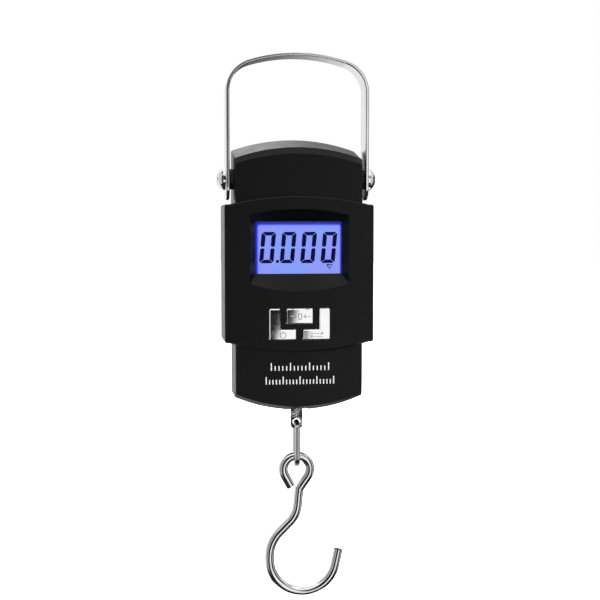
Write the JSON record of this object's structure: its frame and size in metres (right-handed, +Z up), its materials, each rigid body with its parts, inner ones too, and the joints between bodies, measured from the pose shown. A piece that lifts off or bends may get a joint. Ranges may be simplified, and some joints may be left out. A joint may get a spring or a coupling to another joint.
{
  "type": "digital fish scale",
  "caption": "Hanging digital scale: black plastic case with a lit display and chrome buttons, swinging steel bail above, wire hook on a link below.",
  "frame": {"origin": "underside of the middle of the bail's top, where the hand or a peg holds it", "axes": "+X to the right of someone facing the display, +Y to the back, +Z up"},
  "size_m": [0.0692, 0.0256, 0.2375],
  "materials": {
    "bail_steel": "polished",
    "screw_chrome": "polished",
    "washer_black": "matte",
    "front_plastic": "satin",
    "rear_plastic": "satin",
    "battery_cover_plastic": "satin",
    "lens_clear": "gloss",
    "lcd_glass": "gloss",
    "segment_ink": "matte",
    "backlight_acrylic": "satin",
    "lamp_blue": "gloss",
    "zebra_rubber": "matte",
    "board_green": "satin",
    "board_screw_steel": "satin",
    "chip_epoxy": "gloss",
    "component_ceramic": "matte",
    "crystal_can": "satin",
    "switch_body": "matte",
    "dome_steel": "polished",
    "power_chrome": "polished",
    "tare_chrome": "polished",
    "unit_chrome": "polished",
    "yoke_steel": "satin",
    "bolt_black_steel": "satin",
    "cell_aluminium": "satin",
    "gauge_film": "satin",
    "gauge_wire_red": "satin",
    "lug_steel": "satin",
    "nut_steel": "satin",
    "case_screw_steel": "satin",
    "battery_left_sleeve": "gloss",
    "battery_right_sleeve": "gloss",
    "spring_nickel": "polished",
    "contact_nickel": "polished",
    "battery_wire_red": "satin",
    "link_steel": "polished",
    "hook_steel": "polished"
  },
  "bodies": {
    "handle": {"bail_handle": "bail_steel"},
    "case": {"pivot_screws": "screw_chrome", "pivot_washers": "washer_black", "front_cover": "front_plastic", "rear_cover": "rear_plastic", "lcd_lens": "lens_clear", "lcd_panel": "lcd_glass", "lcd_segments": "segment_ink", "backlight_panel": "backlight_acrylic", "backlight_lamps": "lamp_blue", "zebra_strip": "zebra_rubber", "circuit_board": "board_green", "board_screws": "board_screw_steel", "chip_blob": "chip_epoxy", "board_components": "component_ceramic", "crystal": "crystal_can", "tact_switches": "switch_body", "switch_domes": "dome_steel", "yoke": "yoke_steel", "yoke_bolt": "bolt_black_steel", "load_cell": "cell_aluminium", "strain_gauges": "gauge_film", "gauge_wires": "gauge_wire_red", "hook_lug": "lug_steel", "lug_nut": "nut_steel", "case_screws": "case_screw_steel", "battery_left": "battery_left_sleeve", "battery_right": "battery_right_sleeve", "battery_springs": "spring_nickel", "battery_contacts": "contact_nickel", "battery_wires": "battery_wire_red"},
    "battery_cover": {"battery_cover": "battery_cover_plastic"},
    "button_power": {"button_power": "power_chrome"},
    "button_tare": {"button_tare": "tare_chrome"},
    "button_unit": {"button_unit": "unit_chrome"},
    "link": {"hook_link": "link_steel"},
    "hook": {"hook": "hook_steel"}
  },
  "joints": [
    {"name": "bail_pivot", "type": "hinge", "parent": "handle", "child": "case", "pos_m": [0, 0, -0.0523], "axis": [1, 0, 0], "range_deg": [-100, 100]},
    {"name": "battery_cover_slide", "type": "slide", "parent": "case", "child": "battery_cover", "axis": [0, 0, -1], "range_m": [0, 0.03]},
    {"name": "power_press", "type": "slide", "parent": "case", "child": "button_power", "axis": [0, 1, 0], "range_m": [0, 0.0005], "stiffness_N_per_m": 400},
    {"name": "tare_press", "type": "slide", "parent": "case", "child": "button_tare", "axis": [0, 1, 0], "range_m": [0, 0.0005], "stiffness_N_per_m": 400},
    {"name": "unit_press", "type": "slide", "parent": "case", "child": "button_unit", "axis": [0, 1, 0], "range_m": [0, 0.0005], "stiffness_N_per_m": 400},
    {"name": "link_swing", "type": "hinge", "parent": "case", "child": "link", "pos_m": [0, 0, -0.15816], "axis": [0, 1, 0], "range_deg": [-60, 60]},
    {"name": "hook_swing", "type": "hinge", "parent": "link", "child": "hook", "pos_m": [0, 0, -0.17325], "axis": [1, 0, 0], "range_deg": [-60, 60]}
  ]
}
